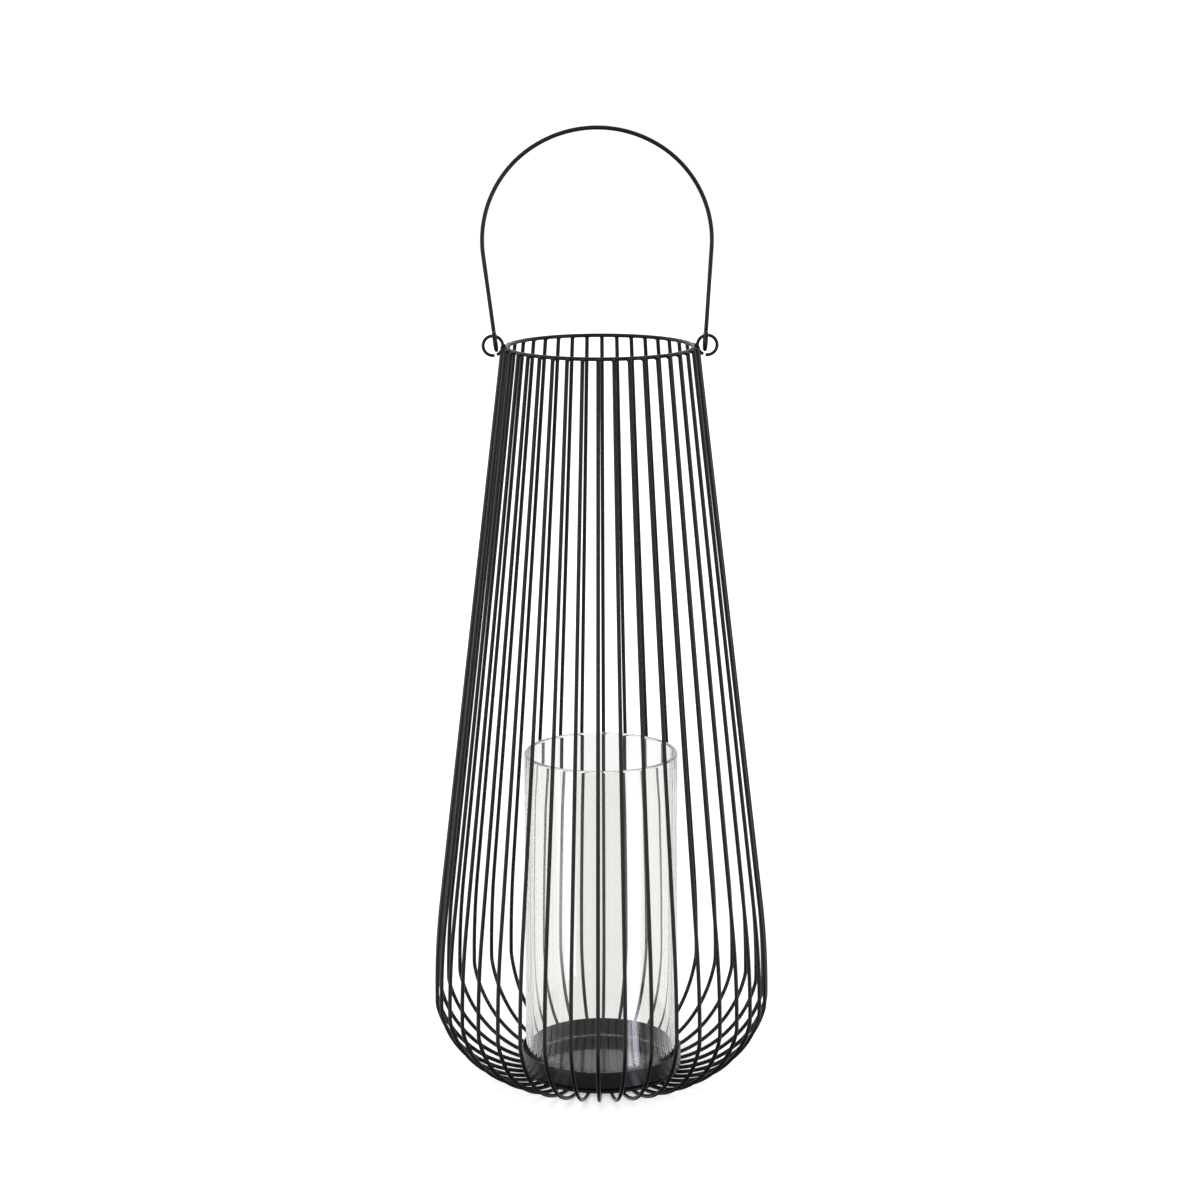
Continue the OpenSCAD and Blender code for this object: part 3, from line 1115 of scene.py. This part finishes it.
class LANTERN_OT_stage(bpy.types.Operator):
    """Set up floor, light and camera"""

    bl_idname = "lantern.stage"
    bl_label = "Stage"

    def execute(self, context):
        scene = context.scene
        scene.view_settings.view_transform = "Standard"
        self.add_world(scene)
        self.add_floor()
        self.add_lamps(scene)
        self.add_camera(scene)
        return {"FINISHED"}

    @staticmethod
    def patch(tree, azimuth, z, middle, half, soft, low, high):
        """Mask of one bright patch of the world.

        Its middle, half width and soft edge are in degrees round the axis, from the front. It
        sets in between two heights of the ray's direction, and ends just above the horizon.
        """
        off = math_node(tree, "SUBTRACT", azimuth, math.radians(middle))
        off = math_node(tree, "ABSOLUTE", off)
        edge = (math.radians(half + soft), math.radians(half - soft))
        below_top = smooth_step(tree, z, zero_at=0.2, one_at=0.05)
        mask = math_node(tree, "MULTIPLY", smooth_step(tree, off, *edge), below_top)
        return math_node(tree, "MULTIPLY", mask, smooth_step(tree, z, low, high))

    def add_world(self, scene):
        """Plain light from all round, and white where the world is seen.

        Gloss shows a white backdrop behind the lantern, which reaches further round for rays out
        of glass, a dim room in front of it, a tall strip on each side there, a raised panel
        beside the camera, and a shaded floor. Rays out of glass find white steeply above and
        below, and all of it is dimmer for inner rays.
        """
        f = finish()
        world = bpy.data.worlds.new("studio_world")
        scene.world = world
        world.use_nodes = True
        tree = world.node_tree
        nodes, links = tree.nodes, tree.links
        nodes.clear()
        rays = ray_kinds(tree)
        split = nodes.new("ShaderNodeSeparateXYZ")
        links.new(nodes.new("ShaderNodeTexCoord").outputs["Generated"], split.inputs[0])
        x, y, z = split.outputs
        azimuth = math_node(tree, "ARCTAN2", x, math_node(tree, "MULTIPLY", y, -1.0))
        left = self.patch(tree, azimuth, z, middle=-58.5, half=13, soft=8, low=-0.36, high=-0.3)
        right = self.patch(tree, azimuth, z, middle=50, half=9, soft=3, low=-0.7, high=-0.45)
        front = self.patch(tree, azimuth, z, middle=-12, half=10, soft=6, low=-0.14, high=0.0)
        boost = math_node(tree, "MULTIPLY_ADD", rays["clear"], f.clear_boost, 1)
        boosted = math_node(tree, "MULTIPLY", right, boost)
        glass_reach = 0.45
        depth = math_node(tree, "MULTIPLY_ADD", rays["through"], glass_reach, y)
        behind = smooth_step(tree, depth, zero_at=-0.1, one_at=0.45)
        open_floor = smooth_step(tree, z, zero_at=-0.8, one_at=-0.45)
        shade = blend(tree, behind, f.room_level, 1)
        shade = math_node(tree, "MULTIPLY", shade, open_floor)
        shade = math_node(tree, "MULTIPLY_ADD", left, f.left_strip, shade)
        shade = math_node(tree, "MULTIPLY_ADD", boosted, f.right_strip, shade)
        shade = math_node(tree, "MULTIPLY_ADD", front, f.front_panel, shade)
        steep = smooth_step(tree, math_node(tree, "ABSOLUTE", z), zero_at=0.35, one_at=0.6)
        steep = math_node(tree, "MULTIPLY", rays["through"], steep)
        shade = math_node(tree, "MAXIMUM", shade, steep)
        dull = blend(tree, rays["inner"], 1, f.spent_level)
        shade = math_node(tree, "MULTIPLY", shade, dull)
        share = math_node(tree, "MULTIPLY", right, rays["gloss"])
        light = nodes.new("ShaderNodeBackground")
        links.new(blend(tree, share, WHITE, f.right_colour, "RGBA"), light.inputs["Color"])
        links.new(blend(tree, rays["gloss"], f.world_level, shade), light.inputs["Strength"])
        white = nodes.new("ShaderNodeBackground")
        white.inputs["Color"].default_value = WHITE
        white.inputs["Strength"].default_value = f.white_level
        mix = nodes.new("ShaderNodeMixShader")
        links.new(rays["seen"], mix.inputs[0])
        links.new(light.outputs[0], mix.inputs[1])
        links.new(white.outputs[0], mix.inputs[2])
        out = nodes.new("ShaderNodeOutputWorld")
        links.new(mix.outputs[0], out.inputs["Surface"])

    def add_floor(self):
        """Pale floor that keeps the shadow.

        Where it is seen it glows a little, more so far from the lantern, so that it runs into
        the white backdrop.
        """
        f = finish()
        material, tree = new_material("pale_floor")
        nodes, links = tree.nodes, tree.links
        matt = nodes.new("ShaderNodeBsdfDiffuse")
        matt.inputs["Color"].default_value = f.floor_colour
        from_lantern = length_of(tree, nodes.new("ShaderNodeTexCoord").outputs["Object"])
        far = smooth_step(tree, from_lantern, zero_at=0.4, one_at=1.4)
        far_lift = 0.4
        glow = math_node(tree, "MULTIPLY_ADD", far, far_lift, f.floor_glow)
        shine = nodes.new("ShaderNodeEmission")
        seen_glow = math_node(tree, "MULTIPLY", ray_kinds(tree)["seen"], glow)
        links.new(seen_glow, shine.inputs["Strength"])
        add = nodes.new("ShaderNodeAddShader")
        links.new(matt.outputs[0], add.inputs[0])
        links.new(shine.outputs[0], add.inputs[1])
        out = nodes.new("ShaderNodeOutputMaterial")
        links.new(add.outputs[0], out.inputs["Surface"])
        half, sink = 6.0, -0.0002
        corners = np.array([(-half, -half), (half, -half), (half, half), (-half, half)])
        points = np.insert(corners, 2, sink, axis=1)
        floor = make_mesh("pale_floor", points, np.array([[0, 1, 2, 3]]), np.empty((0, 3), int))
        floor.data.materials.append(material)
        floor.visible_glossy = False
        floor.visible_transmission = False

    def add_lamps(self, scene):
        """Two soft boxes in front and one above.

        They light the matt surfaces. What gloss shows of the room is all in the world.
        """
        aim_share = 0.45
        aim = Vector((0, 0, CAD_HIGH.z * aim_share))
        boxes = (
            ("front_box", (-0.9, -2.2, 2.0), (1.6, 1.6), 26),
            ("side_box", (1.9, -1.3, 1.5), (1.2, 1.6), 16),
            ("top_box", (-0.2, 0.6, 2.6), (1.8, 1.8), 16),
        )
        for name, place, size, power in boxes:
            lamp = bpy.data.lights.new(name, "AREA")
            lamp.shape = "RECTANGLE"
            lamp.size, lamp.size_y = size
            lamp.energy = power
            obj = bpy.data.objects.new(name, lamp)
            scene.collection.objects.link(obj)
            obj.visible_glossy = False
            obj.location = place
            obj.rotation_euler = (aim - Vector(place)).to_track_quat("-Z", "Y").to_euler()

    def add_camera(self, scene):
        """Camera in front of the lantern and a little above it."""
        distance, height = 2.2557, 0.8693
        azimuth, pitch, roll = math.radians(-1.04), math.radians(77.83), -0.0018
        camera = bpy.data.cameras.new("camera")
        camera.lens, camera.sensor_width = 89.68, 36
        camera.shift_x, camera.shift_y = -0.0005, 0.0004
        obj = bpy.data.objects.new("camera", camera)
        scene.collection.objects.link(obj)
        turn = (
            Matrix.Rotation(azimuth, 4, "Z")
            @ Matrix.Rotation(pitch, 4, "X")
            @ Matrix.Rotation(roll, 4, "Z")
        )
        place = (distance * math.sin(azimuth), -distance * math.cos(azimuth), height)
        obj.matrix_world = Matrix.Translation(place) @ turn
        scene.camera = obj


STEPS = (
    LANTERN_OT_frame_finish,
    LANTERN_OT_ribs,
    LANTERN_OT_hoops,
    LANTERN_OT_ears,
    LANTERN_OT_welds,
    LANTERN_OT_dish,
    LANTERN_OT_glass,
    LANTERN_OT_bail,
    LANTERN_OT_stage,
)


class LANTERN_PT_pieces(bpy.types.Panel):
    """Lists the pieces of the lantern and their settings"""

    bl_label = "Lantern"
    bl_space_type = "VIEW_3D"
    bl_region_type = "UI"
    bl_category = "Lantern"

    def draw(self, context):
        for step in STEPS:
            self.layout.operator(step.bl_idname)
        for group in (sizes(), finish(), detail()):
            box = self.layout.box()
            for name in group.__annotations__:
                box.prop(group, name)


CLASSES = (LanternSizes, LanternFinish, LanternDetail, *STEPS, LANTERN_PT_pieces)


def register():
    for cls in CLASSES:
        bpy.utils.register_class(cls)
    bpy.types.Scene.lantern_sizes = PointerProperty(type=LanternSizes)
    bpy.types.Scene.lantern_finish = PointerProperty(type=LanternFinish)
    bpy.types.Scene.lantern_detail = PointerProperty(type=LanternDetail)


def unregister():
    del bpy.types.Scene.lantern_sizes
    del bpy.types.Scene.lantern_finish
    del bpy.types.Scene.lantern_detail
    for cls in reversed(CLASSES):
        bpy.utils.unregister_class(cls)


def main():
    """Builds the lantern and its stage."""
    register()
    bpy.ops.lantern.frame_finish()
    bpy.ops.lantern.ribs()
    bpy.ops.lantern.hoops()
    bpy.ops.lantern.ears()
    bpy.ops.lantern.welds()
    bpy.ops.lantern.dish()
    bpy.ops.lantern.glass()
    bpy.ops.lantern.bail()
    bpy.ops.lantern.stage()


if __name__ == "__main__":
    main()
